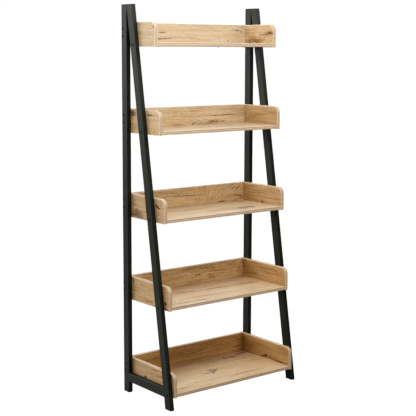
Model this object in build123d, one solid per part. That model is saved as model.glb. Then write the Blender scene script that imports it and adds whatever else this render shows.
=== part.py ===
from build123d import *
from math import acos, atan2, cos, degrees, hypot, tan
import os

# Ladder shelf: two steel side frames with a stack of open board trays screwed between them.
# Millimetres. X runs from left to right, Y from front to back and Z up from the floor.
# The origin is on the floor, in the middle of the width and of the depth.

# Steel side frames
frame_span = 720.0  # across X, over the outer faces of both frames
foot_depth = 356.0  # on the floor, from the rear leg's back to the front leg's front
tube_width = 20.0  # across X
tube_depth = 40.0
tube_wall = 1.5
tube_corner = 2.0  # outer corner radius of the tube
tube_inner_corner = 0.5
seat_height = 8.0  # the front leg's top is trimmed flat against the rear leg over this height
rung_underside = 50.0  # above the floor

# Plastic plugs in the tube ends
foot_plate = 3.0
cap_plate = 2.0
plug_length = 15.0
plug_clearance = 0.2

# Trays of decor board, counted from the floor up
tray_count = 5
lowest_tray = 52.0  # underside of the lowest side panels, above the floor
tray_pitch = 372.0
frame_above_trays = 76.0
board = 16.0
side_height = 104.0
side_corner = 28.0  # round top front corner of a side panel
lowest_overhang = 6.5  # lowest tray's front, ahead of the front leg
highest_overhang = 110.5  # highest tray's front, ahead of the front leg
bottom_lift = 1.5  # bottom panel's underside above the side panels' underside
bottom_setback = 1.5  # bottom panel's front behind the side panels' front

# Edge bands
band = 2.0
band_round = 1.5  # rounding of the band's two long edges

# Button-head screws through the tubes, and smaller ones under the trays
screw_shank = 5.0
screw_head = 9.0
head_height = 2.5
head_rim = 0.7  # straight rim below the dome of a head
socket_flats = 3.0
socket_depth = 1.4
screw_point = 1.0  # bevel at the tip
screw_bite = 34.0  # how far a frame screw reaches into the end of a panel
screw_clearance = 0.15  # gap round a shank
rear_screw_pitch = 32.0  # between the two screws in one end of a back panel
under_screw_shank = 4.0
under_screw_head = 8.0
under_head_height = 2.0
under_screw_bite = 30.0
under_screw_pitch = 345.0  # between the two screws below a back panel

# Dowels between bottom and side panels
dowel_size = 8.0
dowel_in_side = 10.0
dowel_in_bottom = 20.0
dowel_clearance = 0.1
blind_spare = 1.0  # blind holes are this much deeper than what sits in them

# Worked out from the sizes above
frame_height = lowest_tray + (tray_count - 1) * tray_pitch + side_height + frame_above_trays
rear_y = foot_depth / 2
rear_leg_front = rear_y - tube_depth
leg_x = (frame_span - tube_width) / 2
tray_x = frame_span / 2 - tube_width
inside_x = tray_x - board
reach = foot_depth - tube_depth
rise = frame_height - seat_height
lean = acos(tube_depth / hypot(reach, rise)) - atan2(rise, reach)
leg_run = tube_depth / cos(lean)
tray_heights = [lowest_tray + level * tray_pitch for level in range(tray_count)]
overhang_step = (highest_overhang - lowest_overhang) / (tray_count - 1)
under_bore = under_screw_shank / 2 + screw_clearance  # radius

bore_width = tube_width - 2 * tube_wall
bore_depth = tube_depth - 2 * tube_wall
full_section = RectangleRounded(tube_width, tube_depth, tube_corner)
tube_section = full_section - RectangleRounded(bore_width, bore_depth, tube_inner_corner)
plug_width = bore_width - 2 * plug_clearance
plug_depth = bore_depth - 2 * plug_clearance
plug_section = RectangleRounded(plug_width, plug_depth, tube_inner_corner)


def leg_front_y(height):
    """Y of the front leg's front face at a height."""
    return height * tan(lean) - foot_depth / 2


def leg_middle_y(height):
    """Y of the middle of the front leg at a height."""
    return leg_front_y(height) + leg_run / 2


def ahead_of_rear_leg(bottom, top):
    """Room for the front leg, level below and above and flat against the rear leg."""
    room = Box(frame_span, foot_depth * 2, top - bottom, align=(Align.CENTER, Align.MAX, Align.MIN))
    return Pos(0, rear_leg_front, bottom) * room


def rear_bar(section, side, bottom, top):
    """A stretch of the upright rear leg with the given section."""
    return Pos(side * leg_x, rear_y - tube_depth / 2, bottom) * extrude(section, top - bottom)


def front_bar(section, side, bottom, top):
    """A stretch of the leaning front leg with the given section, cut level at both ends."""
    whole = Rot(-degrees(lean), 0, 0) * extrude(section, frame_height * 2, both=True)
    return Pos(side * leg_x, leg_middle_y(0), 0) * whole & ahead_of_rear_leg(bottom, top)


def ahead_of_front_leg(side):
    """Everything ahead of the front leg's middle."""
    room = Box(tube_width, foot_depth, frame_height * 2, align=(Align.CENTER, Align.MAX, Align.CENTER))
    return Pos(side * leg_x, leg_middle_y(0), 0) * Rot(-degrees(lean), 0, 0) * room


def rung(side):
    """The lower rung, shaped at both ends to the legs, as its welds fill their round corners."""
    height = rung_underside + tube_depth / 2
    bar = Pos(side * leg_x, rear_y - tube_depth / 2, height) * extrude(Plane.XZ * tube_section, foot_depth)
    for leg_bar in (rear_bar, front_bar):
        bar -= leg_bar(full_section, side, 0, frame_height)
    return bar - ahead_of_front_leg(side)


def cross_rod(size, start_x, end_x, y, z):
    """A round rod along X, for a bore or a dowel."""
    rod = Rot(0, 90, 0) * Cylinder(size / 2, abs(end_x - start_x))
    return Pos((start_x + end_x) / 2, y, z) * rod


def button_screw(shank, head, height, length):
    """A screw with a round head and a hexagon socket, pointing down from the origin."""
    top = Cylinder(head / 2, height, align=(Align.CENTER, Align.CENTER, Align.MIN))
    top = fillet(top.edges().group_by(Axis.Z)[-1], height - head_rim)
    socket = extrude(RegularPolygon(socket_flats / 2, 6, major_radius=False), socket_depth)
    stem = Cylinder(shank / 2, length, align=(Align.CENTER, Align.CENTER, Align.MAX))
    stem = chamfer(stem.edges().group_by(Axis.Z)[0], screw_point)
    return top - Pos(0, 0, height - socket_depth) * socket + stem


def front_screw_spot(level):
    """Y and Z of the screw through a front leg into the end of a bottom panel."""
    height = tray_heights[level] + bottom_lift + board / 2
    return leg_middle_y(height), height


def rear_screw_spots(level):
    """Y and Z of the screws through a rear leg into the end of a back panel."""
    low = tray_heights[level] + bottom_lift + board
    middle = (low + tray_heights[level] + side_height) / 2
    heights = [middle - rear_screw_pitch / 2, middle + rear_screw_pitch / 2]
    return [(rear_y - board / 2, height) for height in heights]


def dowel_spot(level):
    """Y and Z of the dowel in the end of a bottom panel, midway from the screw to the back."""
    screw_y, height = front_screw_spot(level)
    return (screw_y + rear_y) / 2, height


def screw_bore(side, spot):
    """The bore of a frame screw through tube and side panel into the end of a panel."""
    deep_end = side * (inside_x - screw_bite - blind_spare)
    return cross_rod(screw_shank + 2 * screw_clearance, side * frame_span / 2, deep_end, *spot)


def dowel_bore(side, spot):
    """The bore of a dowel in a side panel and the end of a bottom panel."""
    start = side * (inside_x + dowel_in_side + blind_spare)
    end = side * (inside_x - dowel_in_bottom - blind_spare)
    return cross_rod(dowel_size + 2 * dowel_clearance, start, end, *spot)


def dowel(side, level):
    """A dowel across the joint of a side panel and a bottom panel."""
    start = side * (inside_x + dowel_in_side)
    end = side * (inside_x - dowel_in_bottom)
    return cross_rod(dowel_size, start, end, *dowel_spot(level))


def frame_screw(side, spot):
    """A frame screw with its head on the outer face of the tube."""
    length = tube_width + board + screw_bite
    screw = button_screw(screw_shank, screw_head, head_height, length)
    return Pos(side * frame_span / 2, *spot) * Rot(0, 90 * side, 0) * screw


def under_screw_spots(level):
    """Places of the two screws below a back panel, on the bottom panel's underside."""
    y = rear_y - board / 2
    z = tray_heights[level] + bottom_lift
    return [Pos(-under_screw_pitch / 2, y, z), Pos(under_screw_pitch / 2, y, z)]


def side_outline(depth, height, corner):
    """A side panel seen from the right: square behind and below, round at the top front."""
    blank = Rectangle(depth, height, align=(Align.MAX, Align.MIN))
    top_corners = blank.vertices().group_by(Axis.Y)[-1]
    return fillet(top_corners.sort_by(Axis.X)[0], corner)


def side_panel(side, level, depth):
    """A side panel and the band round its front and top."""
    block = extrude(Plane.YZ * side_outline(depth, side_height, side_corner), board)
    core = extrude(Plane.YZ * side_outline(depth - band, side_height - band, side_corner - band), board)
    rim = block.edges().filter_by(Axis.X, reverse=True)
    rim = rim.filter_by(lambda edge: edge.center().Y < -band and edge.center().Z > band)
    strip = fillet(rim, band_round) - core
    place = Pos(min(side * tray_x, side * inside_x), rear_y, tray_heights[level])
    bores = [screw_bore(side, front_screw_spot(level))]
    bores += [screw_bore(side, spot) for spot in rear_screw_spots(level)]
    bores += [dowel_bore(side, dowel_spot(level))]
    return place * core - bores, place * strip


def bottom_panel(level, depth):
    """A bottom panel and the band along its front."""
    corner = (Align.CENTER, Align.MAX, Align.MIN)
    block = Box(2 * inside_x, depth - bottom_setback, board, align=corner)
    core = Box(2 * inside_x, depth - bottom_setback - band, board, align=corner)
    strip = fillet(block.edges().filter_by(Axis.X).group_by(Axis.Y)[0], band_round) - core
    place = Pos(0, rear_y, tray_heights[level] + bottom_lift)
    bores = [screw_bore(side, front_screw_spot(level)) for side in (-1, 1)]
    bores += [dowel_bore(side, dowel_spot(level)) for side in (-1, 1)]
    through = Cylinder(under_bore, board * 2)
    bores += [spot * through for spot in under_screw_spots(level)]
    return place * core - bores, place * strip


def back_panel(level):
    """A back panel, which stands on the bottom panel, and the band along its top."""
    height = side_height - bottom_lift - board
    corner = (Align.CENTER, Align.MAX, Align.MIN)
    block = Box(2 * inside_x, board, height, align=corner)
    core = Box(2 * inside_x, board, height - band, align=corner)
    strip = fillet(block.edges().filter_by(Axis.X).group_by(Axis.Z)[-1], band_round) - core
    place = Pos(0, rear_y, tray_heights[level] + bottom_lift + board)
    bores = [screw_bore(side, spot) for side in (-1, 1) for spot in rear_screw_spots(level)]
    blind_depth = board + under_screw_bite + blind_spare
    blind = Cylinder(under_bore, blind_depth, align=(Align.CENTER, Align.CENTER, Align.MIN))
    bores += [spot * blind for spot in under_screw_spots(level)]
    return place * core - bores, place * strip


pieces = {}

# Side frames with their feet and caps
cap_underside = frame_height - cap_plate
for hand, side in (("left", -1), ("right", 1)):
    front_bores = [screw_bore(side, front_screw_spot(level)) for level in range(tray_count)]
    rear_bores = [screw_bore(side, spot) for level in range(tray_count) for spot in rear_screw_spots(level)]
    for leg, bar, bores in (("rear", rear_bar, rear_bores), ("front", front_bar, front_bores)):
        foot = bar(full_section, side, 0, foot_plate)
        foot_plug = bar(plug_section, side, foot_plate, foot_plate + plug_length)
        cap = bar(full_section, side, cap_underside, frame_height)
        cap_plug = bar(plug_section, side, cap_underside - plug_length, cap_underside)
        pieces[f"{hand}_{leg}_leg"] = bar(tube_section, side, foot_plate, cap_underside) - bores
        pieces[f"{hand}_{leg}_foot"] = foot + foot_plug
        pieces[f"{hand}_{leg}_cap"] = cap + cap_plug
    pieces[f"{hand}_rung"] = rung(side)

# Trays, each of four boards with their edge bands
for level in range(tray_count):
    overhang = lowest_overhang + level * overhang_step
    depth = rear_y - leg_front_y(tray_heights[level]) + overhang
    tray = f"tray_{level + 1}"
    pieces[f"{tray}_bottom_panel"], pieces[f"{tray}_bottom_band"] = bottom_panel(level, depth)
    pieces[f"{tray}_back_panel"], pieces[f"{tray}_back_band"] = back_panel(level)
    pieces[f"{tray}_left_side"], pieces[f"{tray}_left_band"] = side_panel(-1, level, depth)
    pieces[f"{tray}_right_side"], pieces[f"{tray}_right_band"] = side_panel(1, level, depth)

# Screws and dowels
for hand, side in (("left", -1), ("right", 1)):
    screws = []
    for level in range(tray_count):
        spots = [front_screw_spot(level)] + rear_screw_spots(level)
        screws += [frame_screw(side, spot) for spot in spots]
    pieces[f"{hand}_frame_screws"] = Compound(children=screws)

under_length = board + under_screw_bite
under_screw = button_screw(under_screw_shank, under_screw_head, under_head_height, under_length)
under_spots = [spot for level in range(tray_count) for spot in under_screw_spots(level)]
pieces["under_screws"] = Compound(children=[spot * Rot(180, 0, 0) * under_screw for spot in under_spots])
pieces["dowels"] = Compound(children=[dowel(side, level) for level in range(tray_count) for side in (-1, 1)])

os.makedirs("parts", exist_ok=True)
for name, piece in pieces.items():
    export_step(piece, f"parts/{name}.step")
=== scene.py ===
"""Ladder shelf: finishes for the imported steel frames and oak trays, their weld beads, and a studio
around them."""

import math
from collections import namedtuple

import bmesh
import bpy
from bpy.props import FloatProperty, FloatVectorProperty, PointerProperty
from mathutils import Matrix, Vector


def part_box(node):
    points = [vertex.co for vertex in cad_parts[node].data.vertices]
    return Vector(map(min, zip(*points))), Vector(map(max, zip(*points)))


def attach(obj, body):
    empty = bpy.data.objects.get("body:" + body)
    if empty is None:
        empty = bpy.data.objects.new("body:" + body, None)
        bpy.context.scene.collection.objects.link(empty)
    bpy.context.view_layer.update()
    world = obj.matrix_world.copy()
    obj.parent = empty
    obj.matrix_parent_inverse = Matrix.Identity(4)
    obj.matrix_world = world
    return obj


bl_info = {
    "name": "Ladder shelf",
    "version": (1, 0, 0),
    "blender": (4, 5, 0),
    "location": "View3D > Sidebar > Ladder shelf",
    "description": "Finishes a ladder shelf of two steel side frames and five oak trays",
    "category": "Object",
}

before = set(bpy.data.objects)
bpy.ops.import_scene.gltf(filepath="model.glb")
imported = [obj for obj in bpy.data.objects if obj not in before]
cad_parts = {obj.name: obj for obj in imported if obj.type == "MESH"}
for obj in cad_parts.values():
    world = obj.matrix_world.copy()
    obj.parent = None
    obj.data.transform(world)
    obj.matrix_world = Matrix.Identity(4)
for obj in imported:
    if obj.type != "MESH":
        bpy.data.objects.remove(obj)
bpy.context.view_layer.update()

MM = 0.001
SIDES = ("left", "right")
TRAYS = range(1, 6)

# One figure in the oak print: its kind, its middle along and across the grain, its half sizes, all in
# millimetres, and its turn from the grain in degrees.
Mark = namedtuple("Mark", "kind along across length width turn", defaults=(0.0,))

# Along the grain is measured from the middle on backs and bottoms and from the rear on sides. Across it is
# measured from the rear on bottoms and from the tray's underside on backs and sides.
MARKS = {
    "tray_1_back_panel": (
        Mark("stain", -10, 47, 5, 3.2),
        Mark("split", 284, 43.5, 44, 2.2, 1),
        Mark("streak", 211, 17, 10, 4),
        Mark("streak", -200, 70, 150, 5, 1),
    ),
    "tray_1_bottom_panel": (
        Mark("stain", -6, 199, 16, 20),
        Mark("split", -46, 204, 28, 5, 9),
        Mark("split", 26, 183, 18, 5),
        Mark("split", -9, 176, 18, 6, 42),
        Mark("split", 5, 194, 24, 12, -33),
        Mark("crack", -11, 191, 20, 4, 98),
        Mark("crack", 4, 196, 23, 4.4, -33),
        Mark("crack", -18, 217, 14, 4.5, 119),
        Mark("crack", 165, 73, 11, 9),
        Mark("split", 199, 74, 26, 7, 8),
        Mark("knot", 214, 81, 8, 8),
        Mark("split", 262, 62, 42, 7, -8),
        Mark("split", 308, 54, 36, 6, -2),
        Mark("knot", -164, 282, 4, 5),
        Mark("split", -243, 307, 56, 3.4, -6),
        Mark("streak", 120, 300, 160, 10, -2),
    ),
    "tray_1_left_side": (
        Mark("knot", 142, 42, 7, 6),
        Mark("split", 220, 91, 46, 1.9, 3),
        Mark("streak", 250, 70, 60, 4, 3),
    ),
    "tray_1_right_side": (
        Mark("streak", 222, 29, 40, 9, -4),
        Mark("streak", 256, 25, 40, 8, -4),
        Mark("knot", 189, 31, 12, 7.5),
        Mark("split", 174, 24, 28, 5.5, 12),
        Mark("crack", 164, 21.5, 14, 2.6, 10),
        # This split draws a dark line along the joint with the bottom board
        Mark("split", 294, 21.5, 46, 4.5, -1),
        Mark("knot", 87, 56, 4, 2.5),
        Mark("streak", 130, 75, 90, 3, 2),
    ),
    "tray_2_back_panel": (
        Mark("knot", 42, 56, 6, 3.5, 20),
        Mark("knot", 58, 56, 5, 3),
        Mark("streak", -40, 16, 120, 5),
        Mark("streak", 180, 62, 120, 3, -2),
        Mark("streak", 260, 90, 60, 3, 20),
    ),
    "tray_2_bottom_panel": (
        Mark("split", -110, 131, 100, 6, 6),
        Mark("split", 60, 144, 120, 6, 3.5),
        Mark("split", 240, 157, 110, 6, 5),
        Mark("filled", -118, 299, 28, 5, 4),
        Mark("split", -146, 287, 50, 6, 6),
        Mark("split", -235, 284, 65, 6, 3),
        Mark("streak", -60, 235, 200, 10, 4),
    ),
    "tray_2_left_side": (
        Mark("crack", 167, 16.5, 38, 1.8, 4),
        Mark("knot", 114, 82, 4, 3),
        Mark("knot", 52, 84, 5, 4),
        Mark("knot", 290, 28, 9, 7),
        Mark("knot", 294, 7, 10, 4),
        Mark("streak", 60, 48, 50, 3, -3),
    ),
    "tray_2_right_side": (
        Mark("streak", 90, 40, 80, 5, 3),
        Mark("streak", 200, 64, 110, 3, -2),
        Mark("streak", 190, 80, 110, 3, -3),
    ),
    "tray_3_back_panel": (
        Mark("split", -15, 66, 132, 2.4, -1.7),
        Mark("split", 290, 41, 58, 2.6, -8),
        Mark("streak", 44, 44, 24, 3.5, -55),
        Mark("streak", 60, 46, 24, 3.5, -68),
        Mark("streak", 108, 44, 24, 3.5, 65),
        Mark("streak", 128, 42, 24, 3.5, 50),
        Mark("split", 190, 21, 32, 3.5, 4),
        Mark("split", 288, 78, 24, 2.6, 38),
        Mark("split", 258, 80, 24, 2.2, 36),
        Mark("streak", -110, 84, 90, 4, -3),
    ),
    "tray_3_bottom_panel": (
        Mark("crack", 150, 216, 34, 15, -8),
        Mark("crack", 206, 203, 28, 15, -8),
        Mark("streak", 64, 208, 200, 14, 5),
        Mark("streak", -60, 120, 180, 12, -2),
    ),
    "tray_3_left_side": (
        Mark("stain", 82, 22, 44, 25),
        Mark("streak", 112, 26, 32, 14),
        Mark("crack", 83, 29, 18, 5.4, 92),
        Mark("crack", 62, 15, 23, 3.1, 1),
        Mark("crack", 95, 24, 15, 3.6, 39),
        Mark("crack", 109, 10, 29, 3.2, -11),
        Mark("stain", 238, 67, 24, 9, -25),
        Mark("split", 231, 70, 16, 4.5, -36),
        Mark("split", 248, 62, 15, 3, -13),
        Mark("streak", 60, 62, 50, 4, -6),
    ),
    "tray_3_right_side": (
        Mark("knot", 156, 23, 6, 4),
        Mark("crack", 150, 26, 7, 3.5, 60),
        Mark("streak", 150, 75, 110, 3, 2),
    ),
    "tray_4_back_panel": (
        Mark("split", 200, 58.7, 118, 2.3, 1),
        Mark("filled", 297, 61, 26, 2.4, 1),
        Mark("streak", -70, 18, 85, 7),
        Mark("streak", 140, 30, 80, 11),
        Mark("streak", 80, 18, 90, 6),
        Mark("split", 20, 24, 20, 3.2, 38),
        Mark("filled", 52, 28, 20, 3.6, 34),
        Mark("filled", 98, 34, 14, 3.6, -35),
        Mark("split", 122, 28, 12, 3, 40),
        Mark("split", 138, 32, 13, 3, -30),
        Mark("split", 160, 28, 14, 3, 25),
        Mark("split", 195, 30, 20, 2.5, 6),
    ),
    "tray_4_bottom_panel": (
        Mark("streak", 60, 150, 200, 14, 2),
        Mark("crack", -120, 90, 30, 6, 10),
        Mark("knot", 190, 70, 14, 8),
    ),
    "tray_4_left_side": (
        Mark("stain", 56, 86, 26, 16),
        Mark("crack", 56, 86, 25.84, 3.06, 4.94),
        Mark("crack", 56, 86, 18.67, 4.23, 49.17),
        Mark("crack", 56, 86, 21.07, 3.75, -34.35),
        Mark("split", 186, 83.5, 32, 3, 1),
        Mark("knot", 217, 17, 3.5, 2.5),
    ),
    "tray_4_right_side": (
        Mark("streak", 120, 60, 90, 4, 3),
        Mark("streak", 150, 30, 90, 3, -2),
    ),
    "tray_5_back_panel": (
        Mark("split", -152, 63.5, 34, 2.6, 3),
        Mark("crack", -138, 37, 50, 1.8, 3),
        Mark("split", -172, 35, 24, 2.8),
        Mark("split", 264, 80, 36, 2, -2.5),
        Mark("crack", 280, 79, 18, 1.7, -2.5),
        Mark("filled", 297, 78, 5, 2.6),
        Mark("split", 301, 72, 9, 2.8, 84),
        Mark("knot", 221, 30, 3, 2.2),
    ),
    "tray_5_bottom_panel": (
        Mark("knot", -90, 120, 16, 6),
        Mark("split", 140, 90, 150, 2.4, 3),
        Mark("crack", 60, 60, 26, 3, -14),
    ),
    "tray_5_left_side": (
        Mark("knot", 211, 82, 5.5, 4.5),
        Mark("streak", 167, 65, 10, 2.5, -40),
    ),
    "tray_5_right_side": (
        Mark("stain", 88, 26, 84, 27),
        Mark("stain", 104, 27, 16, 7),
        Mark("filled", 68, 28, 9, 3.4, 85),
        Mark("filled", 83, 22, 11, 2.2),
        Mark("stain", 194, 65, 46, 14),
        Mark("split", 196, 67, 22, 3, 3),
        Mark("split", 206, 61, 18, 3, -3),
        Mark("crack", 209, 64, 8, 3.2, -70),
        Mark("split", 150, 58, 44, 2.2, 4),
    ),
}

# Where the grain of a board fans out: the fork's place along and across the grain, and where along the grain
# the fan starts and ends, in millimetres.
Fan = namedtuple("Fan", "along across start end")
FANS = {
    "tray_2_back_panel": (Fan(330, 30, 90, 340),),
    "tray_3_back_panel": (Fan(84, 4, 0, 400),),
    "tray_5_right_side": (Fan(84, -10, 60, 260),),
}

# How each board differs from the next: its shade and how much of the tint of bounced light lies over it,
# which are painted light and shade for how the light falls on it and bounces between the boards, with a
# little of the print's own tone in the shade, and how strong the print's streaks are.
Print = namedtuple("Print", "shade warmth figure", defaults=(1.0,))
PRINTS_AND_PAINTED_LIGHT = {
    "tray_1_back_panel": Print(0.92, 1.0),
    "tray_1_bottom_panel": Print(0.96, 0.43),
    "tray_1_left_side": Print(0.95, 0.62),
    "tray_1_right_side": Print(0.79, 1.0),
    "tray_2_back_panel": Print(1.06, 0.65, 1.3),
    "tray_2_bottom_panel": Print(0.985, 0.25),
    "tray_2_left_side": Print(1.06, 0.6, 0.7),
    "tray_2_right_side": Print(0.83, 0.84),
    "tray_3_back_panel": Print(0.97, 0.5, 1.3),
    "tray_3_bottom_panel": Print(0.95, 0.18),
    "tray_3_left_side": Print(1.03, 0.52),
    "tray_3_right_side": Print(0.83, 0.67),
    "tray_4_back_panel": Print(0.99, 0.28),
    "tray_4_bottom_panel": Print(0.93, 0.14),
    "tray_4_left_side": Print(1.11, 0.5, 0.75),
    "tray_4_right_side": Print(0.79, 0.58),
    "tray_5_back_panel": Print(0.945, 0.0, 0.6),
    "tray_5_bottom_panel": Print(0.97, 0.15),
    "tray_5_left_side": Print(1.14, 0.27, 0.65),
    "tray_5_right_side": Print(0.88, 0.36),
}


def linear(hex_colour):
    """The linear red, green and blue of an sRGB hex colour."""
    channels = [int(hex_colour[i:i + 2], 16) / 255 for i in (1, 3, 5)]
    return tuple(c / 12.92 if c <= 0.04045 else ((c + 0.055) / 1.055) ** 2.4 for c in channels)


def scaled(values, factor):
    """Every value of a colour or of some sizes, times a factor."""
    return [value * factor for value in values]


def colour_property(name, description, default):
    """A colour that a user can change."""
    return FloatVectorProperty(
        name=name, description=description, subtype="COLOR", size=3, min=0, max=1, default=linear(default)
    )


def length_property(name, description, millimetres):
    """A size that a user can change."""
    return FloatProperty(
        name=name, description=description, subtype="DISTANCE", unit="LENGTH", precision=5,
        default=millimetres * MM,
    )


def share_property(name, description, default):
    """A share from nothing to all that a user can change."""
    return FloatProperty(name=name, description=description, subtype="FACTOR", min=0, max=1, default=default)


class FrameFinish(bpy.types.PropertyGroup):
    """Finish of the steel side frames, their plugs and the screws"""

    coat: colour_property("Powder coat", "Colour of the coat on the steel tubes", "#20261a")
    coat_roughness: share_property("Coat roughness", "How matt the powder coat is", 0.46)
    peel: length_property("Orange peel", "Distance between the swells of the coat", 2.5)
    plug: colour_property("Plugs", "Colour of the moulded feet and caps", "#0e0f0d")
    plug_grit: length_property("Plug grit", "Grain of the moulded plugs", 1.2)
    screw: colour_property("Screws", "Colour of the blackened screws", "#3a3a38")
    bead: length_property("Weld bead", "Radius of the weld beads", 2.4)
    bead_ripple: length_property("Weld ripple", "Distance between the ripples of a weld", 2.2)
    seam: length_property("Seam", "Length of the weld between the legs, down from the top", 38)
    seat: length_property("Seat", "Height of the front leg's flat seat against the rear leg", 8)
    lean: FloatProperty(
        name="Lean", description="How far the front legs lean back", subtype="ANGLE", unit="ROTATION",
        default=math.radians(9.1414),
    )


class BoardFinish(bpy.types.PropertyGroup):
    """Finish of the tray boards, their edge bands and the dowels"""

    pale: colour_property("Pale oak", "Lightest streaks of the oak print", "#e0d2c5")
    honey: colour_property("Honey oak", "Main colour of the oak print", "#c8b498")
    deep: colour_property("Deep oak", "Darkest streaks of the oak print", "#987a5d")
    gold: colour_property("Golden oak", "Warmer stretches of the oak print", "#c8a67c")
    # This tint is painted light: it stands for light bounced between the boards, laid over each board by its
    # share
    warm: colour_property("Warm tint", "Tint over the boards with a warmer print", "#ffe8c0")
    knot: colour_property("Knot", "Middle of a knot", "#4a3524")
    halo: colour_property("Knot halo", "Stained wood around a knot", "#927050")
    slate: colour_property("Open crack", "Grey of the open cracks", "#84868a")
    filler: colour_property("Filled crack", "Pale blue-grey filler in other cracks", "#ced2d8")
    rim: colour_property("Crack rim", "Dark wood beside a crack", "#64472e")
    streak: length_property("Streak width", "Width of the streaks of the oak print", 6)
    streak_length: length_property("Streak length", "Length of the streaks of the oak print", 120)
    fleck: length_property("Fleck width", "Width of the short flecks of the oak print", 3)
    fleck_length: length_property("Fleck length", "Length of the short flecks of the oak print", 18)
    ring: length_property("Ring width", "Width of a growth ring of the oak print", 14)
    pore: length_property("Pore width", "Width of a pore of the oak print", 1.6)
    pore_length: length_property("Pore length", "Length of a pore of the oak print", 22)
    # The pale band edges are a painted highlight on the rounded edges
    band: colour_property("Band edges", "Pale edges of the edge band", "#d8c7b1")
    band_middle: colour_property("Band middle", "Pinkish tan face of the edge band", "#d3bda3")
    band_streak: colour_property("Band streaks", "Darker lines along the edge band", "#ab8c6b")
    core: colour_property("Chipboard", "Raw chipboard at the rear and lower edges", "#b08a5c")
    core_chip: colour_property("Dark chips", "Darker chips in the raw chipboard", "#7d5a36")
    beech: colour_property("Beech", "Colour of the dowels", "#c9a57c")


class Studio(bpy.types.PropertyGroup):
    """The floor, the lights and the camera"""

    floor: colour_property("Floor", "Colour of the floor", "#7c7c7c")
    white: FloatProperty(
        name="White", description="Light that the floor and the surround give towards the camera", min=0,
        default=1.06,
    )
    lens: FloatProperty(name="Lens", description="Focal length in millimetres", min=1, default=89.8)


FINISHES = {"ladder_frame": FrameFinish, "ladder_boards": BoardFinish, "ladder_studio": Studio}


# The output that holds the colour on a Mix node, which has one output for each kind of data.
MIXED_COLOUR = 2


def add(tree, kind, sockets=None, stops=None, **settings):
    """Add one node. A socket, named by its identifier, takes a value or a link. A ramp takes its stops."""
    node = tree.nodes.new(kind)
    for name, value in settings.items():
        setattr(node, name, value)
    inputs = {socket.identifier: socket for socket in node.inputs}
    for name, value in (sockets or {}).items():
        if isinstance(value, bpy.types.NodeSocket):
            tree.links.new(value, inputs[name])
        else:
            inputs[name].default_value = value
    for index, (place, colour) in enumerate(stops or ()):
        ramp = node.color_ramp.elements
        stop = ramp[index] if index < len(ramp) else ramp.new(place)
        stop.position = place
        stop.color = (*colour, 1)
    return node


def start_material(name):
    """An empty material and its tree."""
    material = bpy.data.materials.new(name)
    material.use_nodes = True
    material.node_tree.nodes.clear()
    return material, material.node_tree


def end_material(tree, sockets):
    """Close a material with its surface shader."""
    shader = add(tree, "ShaderNodeBsdfPrincipled", sockets)
    add(tree, "ShaderNodeOutputMaterial", {"Surface": shader.outputs["BSDF"]})


def dress(node, material):
    """Give a carried-over node its finish."""
    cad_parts[node].data.materials[0] = material


# Sizes of the patterns on steel and beech, in millimetres: the cloudy tint of the powder coat, the worn
# flecks of a screw, and the length and width of the flecks in beech.
COAT_CLOUD = 90
WORN_FLECK = 1.5
BEECH_FLECK = (5, 0.8)


def powder_coat(finish):
    """Steel with a baked powder coat: near black, satin, with soft swells and a faintly cloudy tint."""
    material, tree = start_material("powder_coated_steel")
    place = add(tree, "ShaderNodeTexCoord").outputs["Object"]
    swell = add(
        tree, "ShaderNodeTexNoise", {"Vector": place, "Scale": 1 / finish.peel, "Detail": 2, "Roughness": 0.5}
    ).outputs["Fac"]
    cloud = add(
        tree, "ShaderNodeTexNoise",
        {"Vector": place, "Scale": 1 / (COAT_CLOUD * MM), "Detail": 4, "Roughness": 0.6},
    ).outputs["Fac"]
    tint = add(
        tree, "ShaderNodeMapRange",
        {"Value": cloud, "From Min": 0.3, "From Max": 0.7, "To Min": 0.8, "To Max": 1.25},
    ).outputs["Result"]
    colour = add(
        tree, "ShaderNodeMix", {"Factor_Float": 1, "A_Color": (*finish.coat, 1), "B_Color": tint},
        data_type="RGBA", blend_type="MULTIPLY",
    )
    rough = add(
        tree, "ShaderNodeMapRange",
        {
            "Value": cloud, "From Min": 0.3, "From Max": 0.7,
            "To Min": finish.coat_roughness - 0.04, "To Max": finish.coat_roughness + 0.05,
        },
    ).outputs["Result"]
    bump = add(
        tree, "ShaderNodeBump", {"Height": swell, "Strength": 0.25, "Distance": 0.06 * MM}
    ).outputs["Normal"]
    end_material(tree, {
        "Base Color": colour.outputs[MIXED_COLOUR], "Roughness": rough, "IOR": 1.5, "Normal": bump,
    })
    return material


def moulded_plastic(finish):
    """Injection-moulded polyethylene: black, matt, with a fine spark grain."""
    material, tree = start_material("moulded_polyethylene")
    place = add(tree, "ShaderNodeTexCoord").outputs["Object"]
    grit = add(
        tree, "ShaderNodeTexNoise",
        {"Vector": place, "Scale": 1 / finish.plug_grit, "Detail": 3, "Roughness": 0.7},
    ).outputs["Fac"]
    colour = add(
        tree, "ShaderNodeValToRGB", {"Fac": grit},
        stops=((0.3, scaled(finish.plug, 0.7)), (0.7, scaled(finish.plug, 1.5))),
    ).outputs["Color"]
    rough = add(
        tree, "ShaderNodeMapRange", {"Value": grit, "To Min": 0.72, "To Max": 0.88}
    ).outputs["Result"]
    bump = add(
        tree, "ShaderNodeBump", {"Height": grit, "Strength": 0.3, "Distance": 0.05 * MM}
    ).outputs["Normal"]
    end_material(tree, {"Base Color": colour, "Roughness": rough, "IOR": 1.51, "Normal": bump})
    return material


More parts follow.
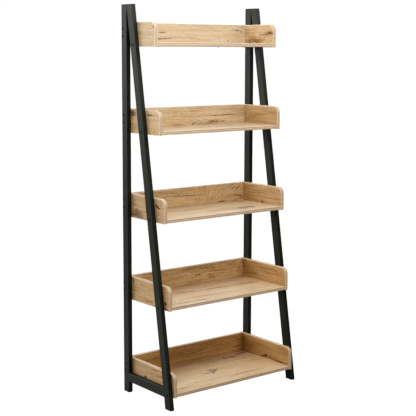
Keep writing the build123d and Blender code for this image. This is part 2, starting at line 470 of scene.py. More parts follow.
def blackened_screw(finish):
    """Zinc-plated and blackened steel: dark, metallic, worn brighter in small flecks."""
    material, tree = start_material("blackened_zinc_steel")
    place = add(tree, "ShaderNodeTexCoord").outputs["Object"]
    fleck = add(
        tree, "ShaderNodeTexNoise",
        {"Vector": place, "Scale": 1 / (WORN_FLECK * MM), "Detail": 4, "Roughness": 0.6},
    ).outputs["Fac"]
    colour = add(
        tree, "ShaderNodeValToRGB", {"Fac": fleck},
        stops=((0.35, scaled(finish.screw, 0.7)), (0.7, scaled(finish.screw, 1.4))),
    ).outputs["Color"]
    rough = add(
        tree, "ShaderNodeMapRange", {"Value": fleck, "To Min": 0.34, "To Max": 0.18}
    ).outputs["Result"]
    bump = add(
        tree, "ShaderNodeBump", {"Height": fleck, "Strength": 0.2, "Distance": 0.02 * MM}
    ).outputs["Normal"]
    end_material(tree, {"Base Color": colour, "Metallic": 1, "Roughness": rough, "Normal": bump})
    return material


def beech(finish):
    """Turned beech: pinkish tan with short dark flecks along the dowel."""
    material, tree = start_material("turned_beech")
    place = add(tree, "ShaderNodeTexCoord").outputs["Object"]
    length, width = (size * MM for size in BEECH_FLECK)
    drawn_out = add(
        tree, "ShaderNodeMapping", {"Vector": place, "Scale": (1 / length, 1 / width, 1 / width)}
    ).outputs["Vector"]
    fleck = add(
        tree, "ShaderNodeTexNoise", {"Vector": drawn_out, "Scale": 1, "Detail": 3, "Roughness": 0.6}
    ).outputs["Fac"]
    colour = add(
        tree, "ShaderNodeValToRGB", {"Fac": fleck},
        stops=((0.35, scaled(finish.beech, 0.6)), (0.55, finish.beech)),
    ).outputs["Color"]
    bump = add(
        tree, "ShaderNodeBump", {"Height": fleck, "Strength": 0.3, "Distance": 0.05 * MM}
    ).outputs["Normal"]
    end_material(tree, {"Base Color": colour, "Roughness": 0.6, "IOR": 1.5, "Normal": bump})
    return material


# What a kind of mark is painted with, from the bottom layer up: colour, how many times the mark's length and
# width, where the soft rim starts as a share of the half size, and how strong it is.
LAYERS = {
    "stain": (("halo", 1.0, 1.0, 0.25, 0.9),),
    "knot": (("halo", 2.2, 2.2, 0.0, 0.75), ("knot", 1.0, 1.0, 0.4, 0.9)),
    "crack": (("rim", 1.2, 2.2, 0.3, 0.9), ("slate", 1.0, 1.0, 0.6, 1.0)),
    "filled": (("rim", 1.2, 2.2, 0.3, 0.9), ("filler", 1.0, 1.0, 0.6, 1.0)),
    "split": (("rim", 1.0, 1.3, 0.35, 0.85),),
    "streak": (("deep", 1.0, 1.5, 0.0, 0.75),),
}

# How far a mark reaches through the board, in millimetres, so far that it never fades with depth.
MARK_DEPTH = 1000

# How far the print slides along and across the grain for each millimetre into the board.
FACE_SHIFT = (9.0, 1.6)

# Swerves of the grain: their size, and how far they reach along, across and through it, in millimetres.
SWERVE_SIZE = 30
SWERVE = (14, 5, 0)

# Tears in the outlines of the marks: their length and width in millimetres, and their depth as a share of
# the mark's half size.
TEAR = (9, 5)
TEAR_DEPTH = 0.4

# How many times a knot's length and width the grain runs around it, and how far it gives way.
KNOT_REACH = (3.5, 4)
GRAIN_PULL = 0.8

# How much longer and wider the broad bands of the print are than its streaks, the shares of the tone that its
# flecks and its broad bands take, the length and width of its golden stretches in millimetres, and how
# strong its pores are.
BROAD = (3, 5)
FLECK_SHARE = 0.45
BROAD_SHARE = 0.22
GOLD = (200, 24)
PORE_DEPTH = 0.45

# The tone that is honey, and how far below and above it the deep and the pale tones lie.
HONEY_TONE = 0.48
DEEP_REACH = 0.125
PALE_REACH = 0.165

# A fan of grain: millimetres of grain that fill one radian, and how far its ends fade, in millimetres.
FAN_SPREAD = 80
FAN_EDGE = 40

# The log that the growth rings lie around: how deep its heart is and how far that wanders sideways and in
# depth from board to board, in millimetres, how it leans, in degrees, and how slowly the rings change along
# it, as a share of how they change across it.
HEART_DEPTH = 60
HEART_WANDER = (25, 20)
LOG_LEAN = (4, 2)
RING_PACE = 0.12

# The length of one wave of the wave texture at a scale of one.
WAVE = math.tau / 20

# Raw chipboard: the size of its chips, and how near a cut edge they show, in millimetres.
CHIP = 3.5
CUT_DEPTH = 0.2

# Steps of the seed between trays, between the boards of a tray, and between the patterns of a board.
TRAY_SEED = 13.7
BOARD_SEED = 3.1
PORE_SEED = 3
FLECK_SEED = 5
BROAD_SEED = 7
GOLD_SEED = 11


def mark_place(tree, grain, mark, length=1.0, width=1.0):
    """Grain coordinates around a mark, where its outline is the unit circle."""
    return add(
        tree, "ShaderNodeMapping",
        {
            "Vector": grain, "Location": (mark.along, mark.across, 0),
            "Rotation": (0, 0, math.radians(mark.turn)),
            "Scale": (mark.length * length, mark.width * width, MARK_DEPTH),
        },
        vector_type="TEXTURE",
    ).outputs["Vector"]


def nearness(tree, place, inner, ragged):
    """One inside a mark, falling softly to nothing at its ragged outline."""
    far = add(tree, "ShaderNodeVectorMath", {"Vector": place}, operation="LENGTH").outputs["Value"]
    torn = add(tree, "ShaderNodeMath", {"Value": far, "Value_001": ragged}, operation="ADD").outputs["Value"]
    return add(
        tree, "ShaderNodeMapRange",
        {"Value": torn, "From Min": inner, "From Max": 1, "To Min": 1, "To Max": 0},
        interpolation_type="SMOOTHSTEP",
    ).outputs["Result"]


def flecks(tree, flow, length, width, seed, detail):
    """Soft flecks of a length along the grain and a width across it, in millimetres."""
    drawn_out = add(
        tree, "ShaderNodeMapping", {"Vector": flow, "Scale": (1 / length, 1 / width, 1 / width)}
    ).outputs["Vector"]
    return add(
        tree, "ShaderNodeTexNoise",
        {"Vector": drawn_out, "Scale": 1, "Detail": detail, "Roughness": 0.6, "W": seed},
        noise_dimensions="4D",
    ).outputs["Fac"]


def oak_tone(tree, flow, finish, seed):
    """How pale the print is: long streaks and short flecks within broad bands."""
    length = finish.streak_length / MM
    width = finish.streak / MM
    streak = flecks(tree, flow, length, width, seed, 5)
    fleck = flecks(tree, flow, finish.fleck_length / MM, finish.fleck / MM, seed + FLECK_SEED, 3)
    broad = flecks(tree, flow, BROAD[0] * length, BROAD[1] * width, seed + BROAD_SEED, 2)
    fine = add(
        tree, "ShaderNodeMix", {"Factor_Float": FLECK_SHARE, "A_Float": streak, "B_Float": fleck}
    ).outputs["Result"]
    return add(
        tree, "ShaderNodeMix", {"Factor_Float": BROAD_SHARE, "A_Float": fine, "B_Float": broad}
    ).outputs["Result"]


def fan_flow(tree, grain, fan):
    """Grain that spreads out from a fork: millimetres away from it, and round it."""
    place = add(
        tree, "ShaderNodeVectorMath",
        {"Vector": grain, "Vector_001": (fan.along, fan.across, 0)}, operation="SUBTRACT",
    ).outputs["Vector"]
    axes = add(tree, "ShaderNodeSeparateXYZ", {"Vector": place}).outputs
    away = add(tree, "ShaderNodeVectorMath", {"Vector": place}, operation="LENGTH").outputs["Value"]
    angle = add(
        tree, "ShaderNodeMath", {"Value": axes["Y"], "Value_001": axes["X"]}, operation="ARCTAN2"
    ).outputs["Value"]
    around = add(
        tree, "ShaderNodeMath", {"Value": angle, "Value_001": FAN_SPREAD}, operation="MULTIPLY"
    ).outputs["Value"]
    return add(tree, "ShaderNodeCombineXYZ", {"X": away, "Y": around, "Z": axes["Z"]}).outputs["Vector"]


def fan_share(tree, grain, fan):
    """One where the grain fans out, fading at both ends of that stretch of the board."""
    along = add(tree, "ShaderNodeSeparateXYZ", {"Vector": grain}).outputs["X"]
    shares = [
        add(
            tree, "ShaderNodeMapRange", {"Value": along, "From Min": end, "From Max": end + inward},
            interpolation_type="SMOOTHSTEP",
        ).outputs["Result"]
        for end, inward in ((fan.start, FAN_EDGE), (fan.end, -FAN_EDGE))
    ]
    return add(
        tree, "ShaderNodeMath", {"Value": shares[0], "Value_001": shares[1]}, operation="MULTIPLY"
    ).outputs["Value"]


def oak_decor(name, finish, origin, turn, seed, raw):
    """Chipboard faced with a wild-oak print under melamine: satin, honey, streaked along the board, with
    knots, filled cracks and shallow embossed pores. The raw edges show the chipboard."""
    material, tree = start_material(f"oak_melamine_{name}")
    place = add(tree, "ShaderNodeTexCoord").outputs["Object"]
    board = add(
        tree, "ShaderNodeMapping",
        {"Vector": place, "Location": origin, "Rotation": turn, "Scale": (MM, MM, MM)},
        vector_type="TEXTURE",
    ).outputs["Vector"]

    # The print shifts through the board, so its two faces differ
    axes = add(tree, "ShaderNodeSeparateXYZ", {"Vector": board}).outputs
    slide = [
        add(
            tree, "ShaderNodeMath", {"Value": axes["Z"], "Value_001": shift}, operation="MULTIPLY"
        ).outputs["Value"]
        for shift in FACE_SHIFT
    ]
    slid = add(tree, "ShaderNodeCombineXYZ", {"X": slide[0], "Y": slide[1]}).outputs["Vector"]
    printed = add(
        tree, "ShaderNodeVectorMath", {"Vector": board, "Vector_001": slid}, operation="ADD"
    ).outputs["Vector"]

    # Small swerves, so that no line is quite straight
    swerve = add(
        tree, "ShaderNodeTexNoise",
        {"Vector": printed, "Scale": 1 / SWERVE_SIZE, "Detail": 3, "Roughness": 0.6, "W": seed},
        noise_dimensions="4D",
    ).outputs["Color"]
    swerve = add(
        tree, "ShaderNodeVectorMath",
        {"Vector": swerve, "Vector_001": SWERVE, "Vector_002": scaled(SWERVE, -0.5)},
        operation="MULTIPLY_ADD",
    ).outputs["Vector"]
    grain = add(
        tree, "ShaderNodeVectorMath", {"Vector": printed, "Vector_001": swerve}, operation="ADD"
    ).outputs["Vector"]
    ragged = add(
        tree, "ShaderNodeMapRange",
        {
            "Value": flecks(tree, printed, *TEAR, seed, 2), "From Min": 0.25, "From Max": 0.75,
            "To Min": -TEAR_DEPTH, "To Max": TEAR_DEPTH,
        },
    ).outputs["Result"]

    # Grain runs around the knots
    marks = MARKS[name]
    flow = grain
    for mark in marks:
        if mark.kind == "knot":
            near = mark_place(tree, grain, mark, *KNOT_REACH)
            give = -GRAIN_PULL * mark.width * KNOT_REACH[1]
            pull = add(
                tree, "ShaderNodeMath", {"Value": nearness(tree, near, 0.0, 0.0), "Value_001": give},
                operation="MULTIPLY",
            ).outputs["Value"]
            pulled = add(
                tree, "ShaderNodeVectorMath", {"Vector": near, "Scale": pull}, operation="SCALE"
            ).outputs["Vector"]
            flow = add(
                tree, "ShaderNodeVectorMath", {"Vector": flow, "Vector_001": pulled}, operation="ADD"
            ).outputs["Vector"]

    tone = oak_tone(tree, flow, finish, seed)
    for fan in FANS.get(name, ()):
        fanned = oak_tone(tree, fan_flow(tree, grain, fan), finish, seed)
        tone = add(
            tree, "ShaderNodeMix",
            {"Factor_Float": fan_share(tree, grain, fan), "A_Float": tone, "B_Float": fanned},
        ).outputs["Result"]
    shade, painted_warmth, figure = PRINTS_AND_PAINTED_LIGHT[name]
    colour = add(
        tree, "ShaderNodeValToRGB", {"Fac": tone},
        stops=(
            (HONEY_TONE - DEEP_REACH / figure, finish.deep),
            (HONEY_TONE + PALE_REACH / figure, finish.pale),
            (HONEY_TONE, finish.honey),
        ),
    ).outputs["Color"]
    gold = add(
        tree, "ShaderNodeMapRange",
        {
            "Value": flecks(tree, flow, *GOLD, seed + GOLD_SEED, 2), "From Min": 0.45, "From Max": 0.7,
            "To Max": 0.5,
        },
    ).outputs["Result"]
    colour = add(
        tree, "ShaderNodeMix", {"Factor_Float": gold, "A_Color": colour, "B_Color": (*finish.gold, 1)},
        data_type="RGBA",
    ).outputs[MIXED_COLOUR]

    # Growth rings about a log that lies a little askew to the board
    heart = (0, HEART_WANDER[0] * math.sin(seed), HEART_DEPTH + HEART_WANDER[1] * math.cos(seed))
    lean = (
        0, math.radians(LOG_LEAN[0] * math.cos(2 * seed)), math.radians(LOG_LEAN[1] * math.sin(3 * seed))
    )
    ring_place = add(
        tree, "ShaderNodeMapping",
        {"Vector": flow, "Location": heart, "Rotation": lean, "Scale": (RING_PACE, 1, 1)},
    ).outputs["Vector"]
    ring = add(
        tree, "ShaderNodeTexWave",
        {
            "Vector": ring_place, "Scale": WAVE / (finish.ring / MM), "Distortion": 5, "Detail": 3,
            "Detail Scale": 1.6, "Detail Roughness": 0.6,
        },
        wave_type="RINGS", rings_direction="X", wave_profile="SAW",
    ).outputs["Fac"]
    late = add(
        tree, "ShaderNodeMapRange", {"Value": ring, "From Min": 0.6, "From Max": 1, "To Max": 0.22}
    ).outputs["Result"]
    colour = add(
        tree, "ShaderNodeMix", {"Factor_Float": late, "A_Color": colour, "B_Color": (*finish.deep, 1)},
        data_type="RGBA",
    ).outputs[MIXED_COLOUR]

    # Pores, drawn coarser than real ones so that they show
    pores = add(
        tree, "ShaderNodeMapRange",
        {
            "Value": flecks(tree, flow, finish.pore_length / MM, finish.pore / MM, seed + PORE_SEED, 2),
            "From Min": 0.56, "From Max": 0.72, "To Max": PORE_DEPTH,
        },
    ).outputs["Result"]
    colour = add(
        tree, "ShaderNodeMix", {"Factor_Float": pores, "A_Color": colour, "B_Color": (*finish.deep, 1)},
        data_type="RGBA",
    ).outputs[MIXED_COLOUR]

    # Knots, cracks and splits
    for mark in marks:
        for paint, along, across, rim, strength in LAYERS[mark.kind]:
            near = nearness(tree, mark_place(tree, grain, mark, along, across), rim, ragged)
            share = add(
                tree, "ShaderNodeMath", {"Value": near, "Value_001": strength}, operation="MULTIPLY"
            ).outputs["Value"]
            colour = add(
                tree, "ShaderNodeMix",
                {"Factor_Float": share, "A_Color": colour, "B_Color": (*getattr(finish, paint), 1)},
                data_type="RGBA",
            ).outputs[MIXED_COLOUR]

    # Painted light and shade: each board is darkened or lightened by its shade and given a warmer tint by its
    # share of bounced light
    tint = [shade * (1 - painted_warmth * (1 - channel)) for channel in finish.warm]
    colour = add(
        tree, "ShaderNodeMix", {"Factor_Float": 1, "A_Color": colour, "B_Color": (*tint, 1)},
        data_type="RGBA", blend_type="MULTIPLY",
    ).outputs[MIXED_COLOUR]

    # Raw edges: pressed chips
    if raw:
        chips = add(
            tree, "ShaderNodeTexVoronoi", {"Vector": board, "Scale": 1 / CHIP, "Randomness": 1}
        ).outputs["Color"]
        chip_colour = add(
            tree, "ShaderNodeValToRGB", {"Fac": chips}, stops=((0.25, finish.core_chip), (0.6, finish.core))
        ).outputs["Color"]
        for axis in raw:
            cut = add(
                tree, "ShaderNodeMath", {"Value": axes[axis], "Value_001": CUT_DEPTH}, operation="LESS_THAN"
            ).outputs["Value"]
            colour = add(
                tree, "ShaderNodeMix", {"Factor_Float": cut, "A_Color": colour, "B_Color": chip_colour},
                data_type="RGBA",
            ).outputs[MIXED_COLOUR]

    rough = add(
        tree, "ShaderNodeMapRange", {"Value": pores, "From Max": PORE_DEPTH, "To Min": 0.42, "To Max": 0.6}
    ).outputs["Result"]
    bump = add(
        tree, "ShaderNodeBump", {"Height": pores, "Strength": 0.5, "Distance": 0.08 * MM}, invert=True
    ).outputs["Normal"]
    end_material(tree, {"Base Color": colour, "Roughness": rough, "IOR": 1.5, "Normal": bump})
    return material


# An edge band, in shares of the board's thickness: how far from its middle it starts and ends to turn pale,
# a painted highlight on its rounded edges, and how far apart the dark lines along it are. The length and
# width of its streaks are in millimetres.
PAINTED_EDGE_HIGHLIGHT = (0.3, 0.46)
BAND_LINES = 0.48
BAND_STREAK = (90, 3.5)


def edge_band(name, finish, middle, turn, board):
    """ABS edge band with an oak print: a pinkish tan face, streaked along it, and paler rounded edges
    that are a painted highlight.
    """
    material, tree = start_material(f"oak_edge_band_{name}")
    place = add(tree, "ShaderNodeTexCoord").outputs["Object"]
    band = add(
        tree, "ShaderNodeMapping",
        {"Vector": place, "Location": middle, "Rotation": turn, "Scale": (MM, MM, MM)},
        vector_type="TEXTURE",
    ).outputs["Vector"]
    across = add(tree, "ShaderNodeSeparateXYZ", {"Vector": band}).outputs["X"]
    off = add(tree, "ShaderNodeMath", {"Value": across}, operation="ABSOLUTE").outputs["Value"]
    start, end = scaled(PAINTED_EDGE_HIGHLIGHT, board)
    edge = add(
        tree, "ShaderNodeMapRange", {"Value": off, "From Min": start, "From Max": end}
    ).outputs["Result"]
    length, width = BAND_STREAK
    drawn_out = add(
        tree, "ShaderNodeMapping", {"Vector": band, "Scale": (1 / width, 1 / length, 1 / length)}
    ).outputs["Vector"]
    streak = add(
        tree, "ShaderNodeTexNoise", {"Vector": drawn_out, "Scale": 1, "Detail": 4, "Roughness": 0.6}
    ).outputs["Fac"]

    # Two dark lines run along the face, one each side of its middle
    lines = add(
        tree, "ShaderNodeTexWave",
        {
            "Vector": band, "Scale": WAVE / (BAND_LINES * board), "Distortion": 0.8, "Detail": 2,
            "Detail Scale": 0.6, "Phase Offset": math.pi,
        },
        wave_type="BANDS", bands_direction="X",
    ).outputs["Fac"]
    face = add(
        tree, "ShaderNodeMix", {"Factor_Float": 0.4, "A_Float": lines, "B_Float": streak}
    ).outputs["Result"]
    middle_colour = add(
        tree, "ShaderNodeValToRGB", {"Fac": face},
        stops=((0.25, finish.band_streak), (0.65, finish.band_middle)),
    ).outputs["Color"]
    # Paler towards both edges: a painted highlight on the band's rounded edges
    colour = add(
        tree, "ShaderNodeMix",
        {"Factor_Float": edge, "A_Color": middle_colour, "B_Color": (*finish.band, 1)}, data_type="RGBA",
    ).outputs[MIXED_COLOUR]
    rough = add(
        tree, "ShaderNodeMapRange", {"Value": streak, "To Min": 0.52, "To Max": 0.66}
    ).outputs["Result"]
    bump = add(
        tree, "ShaderNodeBump", {"Height": streak, "Strength": 0.2, "Distance": 0.05 * MM}
    ).outputs["Normal"]
    end_material(tree, {"Base Color": colour, "Roughness": rough, "IOR": 1.53, "Normal": bump})
    return material


class LADDER_OT_side_frames(bpy.types.Operator):
    """Coat the legs and rungs of both side frames"""

    bl_idname = "ladder_shelf.side_frames"
    bl_label = "Coat the side frames"

    def execute(self, context):
        coat = powder_coat(context.scene.ladder_frame)
        for side in SIDES:
            for bar in ("rear_leg", "front_leg", "rung"):
                dress(f"{side}_{bar}", coat)
        return {"FINISHED"}


class LADDER_OT_weld_beads(bpy.types.Operator):
    """Weld the rungs to the legs, and the legs to each other where they meet at the top"""

    bl_idname = "ladder_shelf.weld_beads"
    bl_label = "Add the weld beads"

    def execute(self, context):
        finish = context.scene.ladder_frame
        coat = bpy.data.materials["powder_coated_steel"]
        for side in SIDES:
            mesh = bpy.data.meshes.new(f"{side}_weld_beads")
            form = bmesh.new()
            for start, end in weld_lines(side, finish):
                lay_bead(form, start, end, finish.bead, finish.bead_ripple)
            form.to_mesh(mesh)
            form.free()
            mesh.shade_smooth()
            mesh.materials.append(coat)
            beads = bpy.data.objects.new(mesh.name, mesh)
            context.collection.objects.link(beads)
            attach(beads, "root")
        return {"FINISHED"}


def weld_lines(side, finish):
    """Where each weld of a side frame starts and ends."""
    # Along the upper and lower edge of the rung, against the rear leg and the leaning front leg
    low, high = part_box(f"{side}_rung")
    rise = (high.z - low.z) * math.tan(finish.lean)
    for y, z in ((high.y, high.z), (high.y, low.z), (low.y + rise, high.z), (low.y, low.z)):
        yield Vector((low.x, y, z)), Vector((high.x, y, z))

    # Down the fork of the legs, on both sides of the tubes
    low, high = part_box(f"{side}_rear_leg")
    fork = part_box(f"{side}_rear_cap")[1].z - finish.seat
    bottom = high.z - finish.seam
    gap = (fork - bottom) * math.tan(finish.lean)
    for x in (low.x + finish.bead, high.x - finish.bead):
        yield Vector((x, low.y, high.z)), Vector((x, low.y - gap / 2, bottom))


# A weld bead: the number of its sides and of its rings, the share of its radius that is left at its tips, how
# late it tapers towards them, and how deep its ripples are as a share of its radius.
BEAD_SIDES = 12
BEAD_RINGS = 36
BEAD_TIP = 0.35
BEAD_TAPER = 8
RIPPLE_DEPTH = 0.08


def lay_bead(form, start, end, radius, ripple):
    """A round bead with ripples across it and tapered ends."""
    run = end - start
    length = run.length
    first = len(form.verts)
    made = bmesh.ops.create_cone(
        form, cap_ends=True, segments=BEAD_SIDES, radius1=radius, radius2=radius, depth=length
    )
    sides = {e for v in made["verts"] for e in v.link_edges if e.calc_length() > length / 2}
    bmesh.ops.subdivide_edges(form, edges=list(sides), cuts=BEAD_RINGS)
    form.verts.ensure_lookup_table()
    place = Matrix.Translation((start + end) / 2) @ run.to_track_quat("Z", "Y").to_matrix().to_4x4()
    for vertex in form.verts[first:]:
        along = vertex.co.z
        full = max(0.0, 1 - (2 * along / length) ** BEAD_TAPER)
        taper = BEAD_TIP + (1 - BEAD_TIP) * full
        swell = taper * (1 - RIPPLE_DEPTH + RIPPLE_DEPTH * math.cos(math.tau * along / ripple))
        vertex.co = place @ Vector((vertex.co.x * swell, vertex.co.y * swell, along))


class LADDER_OT_plugs(bpy.types.Operator):
    """Finish the feet and caps that close the tubes"""

    bl_idname = "ladder_shelf.plugs"
    bl_label = "Finish the feet and caps"

    def execute(self, context):
        plastic = moulded_plastic(context.scene.ladder_frame)
        for side in SIDES:
            for leg in ("rear", "front"):
                for plug in ("foot", "cap"):
                    dress(f"{side}_{leg}_{plug}", plastic)
        return {"FINISHED"}


# How each board's grain lies: the turn that brings its grain to X and its width to Y.
ALONG_BACK = (math.pi / 2, 0, 0)
ALONG_BOTTOM = (math.pi, 0, 0)
ALONG_SIDE = (math.pi / 2, 0, -math.pi / 2)


class LADDER_OT_tray_boards(bpy.types.Operator):
    """Print the back, the bottom and the two sides of every tray with oak"""

    bl_idname = "ladder_shelf.tray_boards"
    bl_label = "Print the tray boards"

    def execute(self, context):
        finish = context.scene.ladder_boards
        for tray in TRAYS:
            low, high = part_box(f"tray_{tray}_left_side")
            rear, underside = high.y, low.z
            boards = {
                "back_panel": ((0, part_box(f"tray_{tray}_back_panel")[0].y, underside), ALONG_BACK, ""),
                "bottom_panel": ((0, rear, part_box(f"tray_{tray}_bottom_panel")[1].z), ALONG_BOTTOM, "Y"),
                "left_side": ((low.x, rear, underside), ALONG_SIDE, "XY"),
                "right_side": ((-high.x, rear, underside), ALONG_SIDE, "XY"),
            }
            for index, (board, (origin, turn, raw)) in enumerate(boards.items()):
                name = f"tray_{tray}_{board}"
                seed = tray * TRAY_SEED + index * BOARD_SEED
                dress(name, oak_decor(name, finish, origin, turn, seed, raw))
        return {"FINISHED"}


class LADDER_OT_edge_bands(bpy.types.Operator):
    """Finish the edge bands of every tray"""

    bl_idname = "ladder_shelf.edge_bands"
    bl_label = "Finish the edge bands"

    def execute(self, context):
        finish = context.scene.ladder_boards
        across_to_x = {
            "bottom": (0, -math.pi / 2, 0),
            "back": (0, 0, math.pi / 2),
            "left": (0, 0, 0),
            "right": (0, 0, 0),
        }
        for tray in TRAYS:
            low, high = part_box(f"tray_{tray}_left_side")
            board = (high.x - low.x) / MM
            for edge, turn in across_to_x.items():
                name = f"tray_{tray}_{edge}_band"
                low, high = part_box(name)
                dress(name, edge_band(name, finish, (low + high) / 2, turn, board))
        return {"FINISHED"}


class LADDER_OT_fasteners(bpy.types.Operator):
    """Finish the screws and the dowels"""

    bl_idname = "ladder_shelf.fasteners"
    bl_label = "Finish the fasteners"

    def execute(self, context):
        screw = blackened_screw(context.scene.ladder_frame)
        for group in ("left_frame_screws", "right_frame_screws", "under_screws"):
            dress(group, screw)
        dress("dowels", beech(context.scene.ladder_boards))
        return {"FINISHED"}


class LADDER_OT_stage(bpy.types.Operator):
    """Set the floor, the soft lights and the camera"""

    bl_idname = "ladder_shelf.stage"
    bl_label = "Set the stage"

    def execute(self, context):
        studio = context.scene.ladder_studio
        lay_floor(context, studio)
        hang_lights(context, studio)
        place_camera(context, studio)
        set_response(context.scene)
        return {"FINISHED"}


# The floor: half its width in metres. Gloss shows a pool of light in it: how strong that is in its middle and
# far off, its place, and how far from there it starts and ends to fade, in metres.
FLOOR_REACH = 30
FLOOR_SHEEN = (0.7, 0.25)
SHEEN_PLACE = (-1.2, 0.8, 0)
SHEEN_FADE = (0.5, 1.4)


def lay_floor(context, studio):
    """A pale floor that the camera sees as white as the surround, with a pool of light beside the shelf."""
    mesh = bpy.data.meshes.new("floor")
    form = bmesh.new()
    bmesh.ops.create_grid(form, x_segments=1, y_segments=1, size=FLOOR_REACH)
    form.to_mesh(mesh)
    form.free()
    material, tree = start_material("studio_floor")
    place = add(tree, "ShaderNodeTexCoord").outputs["Object"]
    pool = add(
        tree, "ShaderNodeVectorMath", {"Vector": place, "Vector_001": SHEEN_PLACE}, operation="DISTANCE"
    ).outputs["Value"]
    sheen = add(
        tree, "ShaderNodeMapRange",
        {
            "Value": pool, "From Min": SHEEN_FADE[0], "From Max": SHEEN_FADE[1],
            "To Min": FLOOR_SHEEN[0], "To Max": FLOOR_SHEEN[1],
        },
    ).outputs["Result"]
    rays = add(tree, "ShaderNodeLightPath").outputs
    mirrored = add(
        tree, "ShaderNodeMath", {"Value": rays["Is Glossy Ray"], "Value_001": sheen}, operation="MULTIPLY"
    ).outputs["Value"]
    plain = add(tree, "ShaderNodeBsdfDiffuse", {"Color": (*studio.floor, 1)}).outputs["BSDF"]
    shine = add(tree, "ShaderNodeEmission", {"Strength": mirrored}).outputs["Emission"]
    lit = add(tree, "ShaderNodeAddShader", {"Shader": plain, "Shader_001": shine}).outputs["Shader"]
    white = add(tree, "ShaderNodeEmission", {"Strength": studio.white}).outputs["Emission"]
    surface = add(
        tree, "ShaderNodeMixShader", {"Fac": rays["Is Camera Ray"], "Shader": lit, "Shader_001": white}
    ).outputs["Shader"]
    add(tree, "ShaderNodeOutputMaterial", {"Surface": surface})
    mesh.materials.append(material)
    floor = bpy.data.objects.new("floor", mesh)
    context.collection.objects.link(floor)


# Softboxes: place in metres, width and height in metres, power in watts. They all face one point.
SOFTBOXES = {
    "overhead_softbox": ((0.0, -0.3, 4.5), (4.0, 4.0), 88.7),
    "near_softbox": ((-0.5, -0.9, 2.4), (0.8, 0.8), 11.0),
    "low_softbox": ((0.0, -3.5, 0.9), (2.0, 1.0), 18.1),
    "left_softbox": ((-2.2, -2.2, 3.0), (1.6, 1.6), 76.7),
    "right_softbox": ((2.2, -2.2, 3.0), (1.6, 1.6), 40.1),
}
AIM = (0, 0, 0.9)

# The backdrop: how bright it is on its left and on its right, from where to where it turns from one to the
# other, and how far back it starts and is full. Places are on a sphere with a radius of one.
BACKDROP_LEFT = 3.04
BACKDROP_RIGHT = 1.27
BACKDROP_TURN = (-0.2, 0.2)
BACKDROP_START = (0.2, 0.6)


def hang_lights(context, studio):
    """A white backdrop behind the shelf and large softboxes aimed at it."""
    world = bpy.data.worlds.new("white_surround")
    world.use_nodes = True
    tree = world.node_tree
    tree.nodes.clear()
    outward = add(tree, "ShaderNodeTexCoord").outputs["Generated"]
    axes = add(tree, "ShaderNodeSeparateXYZ", {"Vector": outward}).outputs
    behind = add(
        tree, "ShaderNodeMapRange",
        {"Value": axes["Y"], "From Min": BACKDROP_START[0], "From Max": BACKDROP_START[1]},
    ).outputs["Result"]
    across = add(
        tree, "ShaderNodeMapRange",
        {
            "Value": axes["X"], "From Min": BACKDROP_TURN[0], "From Max": BACKDROP_TURN[1],
            "To Min": BACKDROP_LEFT, "To Max": BACKDROP_RIGHT,
        },
    ).outputs["Result"]
    backdrop = add(
        tree, "ShaderNodeMath", {"Value": behind, "Value_001": across}, operation="MULTIPLY"
    ).outputs["Value"]
    seen = add(tree, "ShaderNodeLightPath").outputs["Is Camera Ray"]
    strength = add(
        tree, "ShaderNodeMix", {"Factor_Float": seen, "A_Float": backdrop, "B_Float": studio.white}
    ).outputs["Result"]
    surround = add(tree, "ShaderNodeBackground", {"Color": (1, 1, 1, 1), "Strength": strength})
    add(tree, "ShaderNodeOutputWorld", {"Surface": surround.outputs["Background"]})
    context.scene.world = world
    for name, (place, size, power) in SOFTBOXES.items():
        light = bpy.data.lights.new(name, "AREA")
        light.shape = "RECTANGLE"
        light.size, light.size_y = size
        light.energy = power
        lamp = bpy.data.objects.new(name, light)
        lamp.location = place
        lamp.rotation_euler = (Vector(AIM) - Vector(place)).to_track_quat("-Z", "Y").to_euler()
        context.collection.objects.link(lamp)


# The camera's response: a gentle toe and shoulder, from scene light to picture light, on the tone curve for
# all channels at once.
RESPONSE = ((0.034, 0.0105), (0.112, 0.0613), (0.28, 0.2222), (0.56, 0.5224), (0.8, 0.7529), (0.93, 0.8615))
ALL_CHANNELS = 3


def set_response(scene):
    """Give the picture a camera's tone curve."""
    view = scene.view_settings
    view.view_transform = "Standard"
    view.use_curve_mapping = True
    curve = view.curve_mapping.curves[ALL_CHANNELS]
    knees = [curve.points.new(light, picture) for light, picture in RESPONSE]
    knees[-1].handle_type = "VECTOR"
    view.curve_mapping.update()


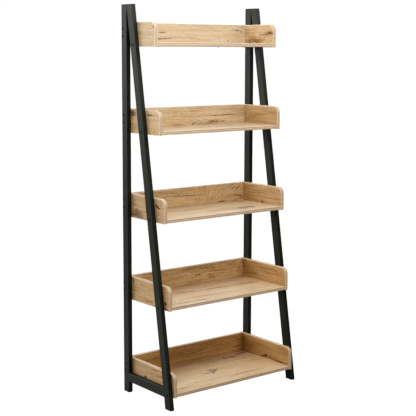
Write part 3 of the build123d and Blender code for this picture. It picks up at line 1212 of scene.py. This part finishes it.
# The camera: its place in metres, how it is turned to the right, tilted down and rolled, in degrees, and its
# lens shift as a share of the picture's width.
VIEWPOINT = (-2.8728, -3.6164, 1.5201)
TURN = 38.261
TILT = 7.6
ROLL = 0.177
LENS_SHIFT = -0.0433


def place_camera(context, studio):
    """The photograph's viewpoint."""
    camera = bpy.data.cameras.new("camera")
    camera.lens = studio.lens
    camera.shift_y = LENS_SHIFT
    viewpoint = bpy.data.objects.new("camera", camera)
    turn = Matrix.Rotation(-math.radians(TURN), 4, "Z")
    tilt = Matrix.Rotation(math.pi / 2 - math.radians(TILT), 4, "X")
    roll = Matrix.Rotation(math.radians(ROLL), 4, "Z")
    viewpoint.matrix_world = Matrix.Translation(VIEWPOINT) @ (turn @ tilt @ roll)
    context.collection.objects.link(viewpoint)
    context.scene.camera = viewpoint


class LADDER_PT_sidebar(bpy.types.Panel):
    """Steps that finish the ladder shelf"""

    bl_idname = "LADDER_PT_sidebar"
    bl_label = "Ladder shelf"
    bl_space_type = "VIEW_3D"
    bl_region_type = "UI"
    bl_category = "Ladder shelf"

    def draw(self, context):
        for step in STEPS:
            self.layout.operator(step.bl_idname)
        for group, kind in FINISHES.items():
            for name in kind.__annotations__:
                self.layout.prop(getattr(context.scene, group), name)


STEPS = (
    LADDER_OT_side_frames,
    LADDER_OT_weld_beads,
    LADDER_OT_plugs,
    LADDER_OT_tray_boards,
    LADDER_OT_edge_bands,
    LADDER_OT_fasteners,
    LADDER_OT_stage,
)


def register():
    """Add the finishes, the steps and the sidebar panel."""
    for group, kind in FINISHES.items():
        bpy.utils.register_class(kind)
        setattr(bpy.types.Scene, group, PointerProperty(type=kind))
    for step in STEPS:
        bpy.utils.register_class(step)
    bpy.utils.register_class(LADDER_PT_sidebar)


def unregister():
    """Take the panel, the steps and the finishes away."""
    bpy.utils.unregister_class(LADDER_PT_sidebar)
    for step in reversed(STEPS):
        bpy.utils.unregister_class(step)
    for group, kind in FINISHES.items():
        delattr(bpy.types.Scene, group)
        bpy.utils.unregister_class(kind)


def main():
    """Run every step in order."""
    register()
    for step in STEPS:
        family, name = step.bl_idname.split(".")
        getattr(getattr(bpy.ops, family), name)()


if __name__ == "__main__":
    main()
